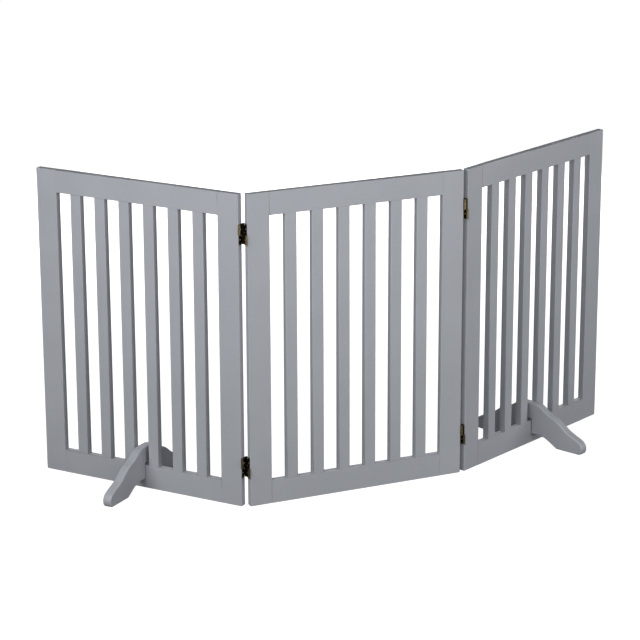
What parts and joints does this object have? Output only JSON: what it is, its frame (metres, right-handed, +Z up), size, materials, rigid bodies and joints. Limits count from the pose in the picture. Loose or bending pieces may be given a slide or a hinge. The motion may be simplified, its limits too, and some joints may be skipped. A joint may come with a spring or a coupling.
{
  "type": "folding pet gate",
  "caption": "Free-standing folding pet gate: slatted wooden panels joined by hinges that fold either way, standing on slotted cross feet that straddle the bottom rails.",
  "frame": {"origin": "middle of the underside of the middle panel, halfway through its thickness", "axes": "+X along the middle panel towards the right-hand panel, +Y from the front face to the back face, +Z up"},
  "size_m": [1.3116, 0.444, 0.7],
  "materials": {
    "paint": "satin paint",
    "bronze": "antiqued, satin"
  },
  "bodies": {
    "middle_panel": {"middle_left_stile": "paint", "middle_right_stile": "paint", "middle_top_rail": "paint", "middle_bottom_rail": "paint", "middle_slat_1": "paint", "middle_slat_2": "paint", "middle_slat_3": "paint", "middle_slat_4": "paint", "middle_slat_5": "paint", "middle_slat_6": "paint", "left_top_hinge_middle_leaf": "bronze", "left_bottom_hinge_middle_leaf": "bronze", "left_top_hinge_lower_link": "bronze", "left_bottom_hinge_lower_link": "bronze", "right_top_hinge_middle_leaf": "bronze", "right_bottom_hinge_middle_leaf": "bronze", "right_top_hinge_upper_link": "bronze", "right_bottom_hinge_upper_link": "bronze"},
    "left_panel": {"left_outer_stile": "paint", "left_hinge_stile": "paint", "left_top_rail": "paint", "left_bottom_rail": "paint", "left_slat_1": "paint", "left_slat_2": "paint", "left_slat_3": "paint", "left_slat_4": "paint", "left_slat_5": "paint", "left_slat_6": "paint", "left_top_hinge_side_leaf": "bronze", "left_bottom_hinge_side_leaf": "bronze", "left_top_hinge_upper_link": "bronze", "left_bottom_hinge_upper_link": "bronze"},
    "left_foot": {"left_foot": "paint"},
    "right_panel": {"right_hinge_stile": "paint", "right_outer_stile": "paint", "right_top_rail": "paint", "right_bottom_rail": "paint", "right_slat_1": "paint", "right_slat_2": "paint", "right_slat_3": "paint", "right_slat_4": "paint", "right_slat_5": "paint", "right_slat_6": "paint", "right_top_hinge_side_leaf": "bronze", "right_bottom_hinge_side_leaf": "bronze", "right_top_hinge_lower_link": "bronze", "right_bottom_hinge_lower_link": "bronze"},
    "right_foot": {"right_foot": "paint"}
  },
  "joints": [
    {"name": "left_fold", "type": "hinge", "parent": "middle_panel", "child": "left_panel", "pos_m": [-0.258, 0.0085, 0.35], "axis": [0, 0, -1], "range_deg": [-52.5, 57.5]},
    {"name": "left_foot_lift", "type": "slide", "parent": "left_panel", "child": "left_foot", "axis": [0, 0, 1], "range_m": [0, 0.045]},
    {"name": "right_fold", "type": "hinge", "parent": "middle_panel", "child": "right_panel", "pos_m": [0.258, 0.0085, 0.35], "axis": [0, 0, 1], "range_deg": [-25, 85]},
    {"name": "right_foot_lift", "type": "slide", "parent": "right_panel", "child": "right_foot", "axis": [0, 0, 1], "range_m": [0, 0.045]}
  ]
}
